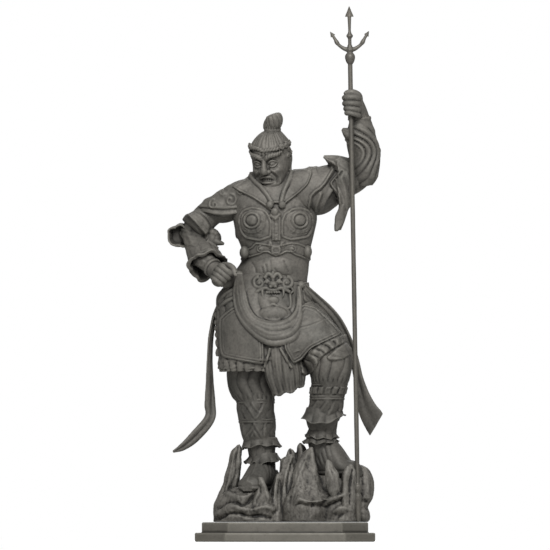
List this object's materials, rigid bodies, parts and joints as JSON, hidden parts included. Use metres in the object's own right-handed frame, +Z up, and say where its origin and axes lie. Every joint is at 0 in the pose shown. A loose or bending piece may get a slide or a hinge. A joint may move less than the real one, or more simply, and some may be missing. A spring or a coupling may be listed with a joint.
{
  "type": "lokapala figure",
  "caption": "Armoured guardian king with topknot, fist on hip and trident in the raised hand, standing on crags over a stepped plinth.",
  "frame": {"origin": "middle of the plinth's underside", "axes": "+Z up, the figure faces -Y, +X towards the hand that holds the trident"},
  "size_m": [0.214, 0.1502, 0.5354],
  "materials": {
    "figure_bronze": "cast bronze, matt dark grey-brown patina",
    "trident_bronze": "cast bronze, matt dark grey patina, edges rubbed",
    "rock_bronze": "cast bronze, rough matt dark grey-brown patina",
    "plinth_bronze": "cast bronze, flat faces with a matt grey-brown patina"
  },
  "bodies": {
    "root": {"figure": "figure_bronze", "trident": "trident_bronze", "rocks": "rock_bronze", "plinth": "plinth_bronze"}
  },
  "joints": []
}
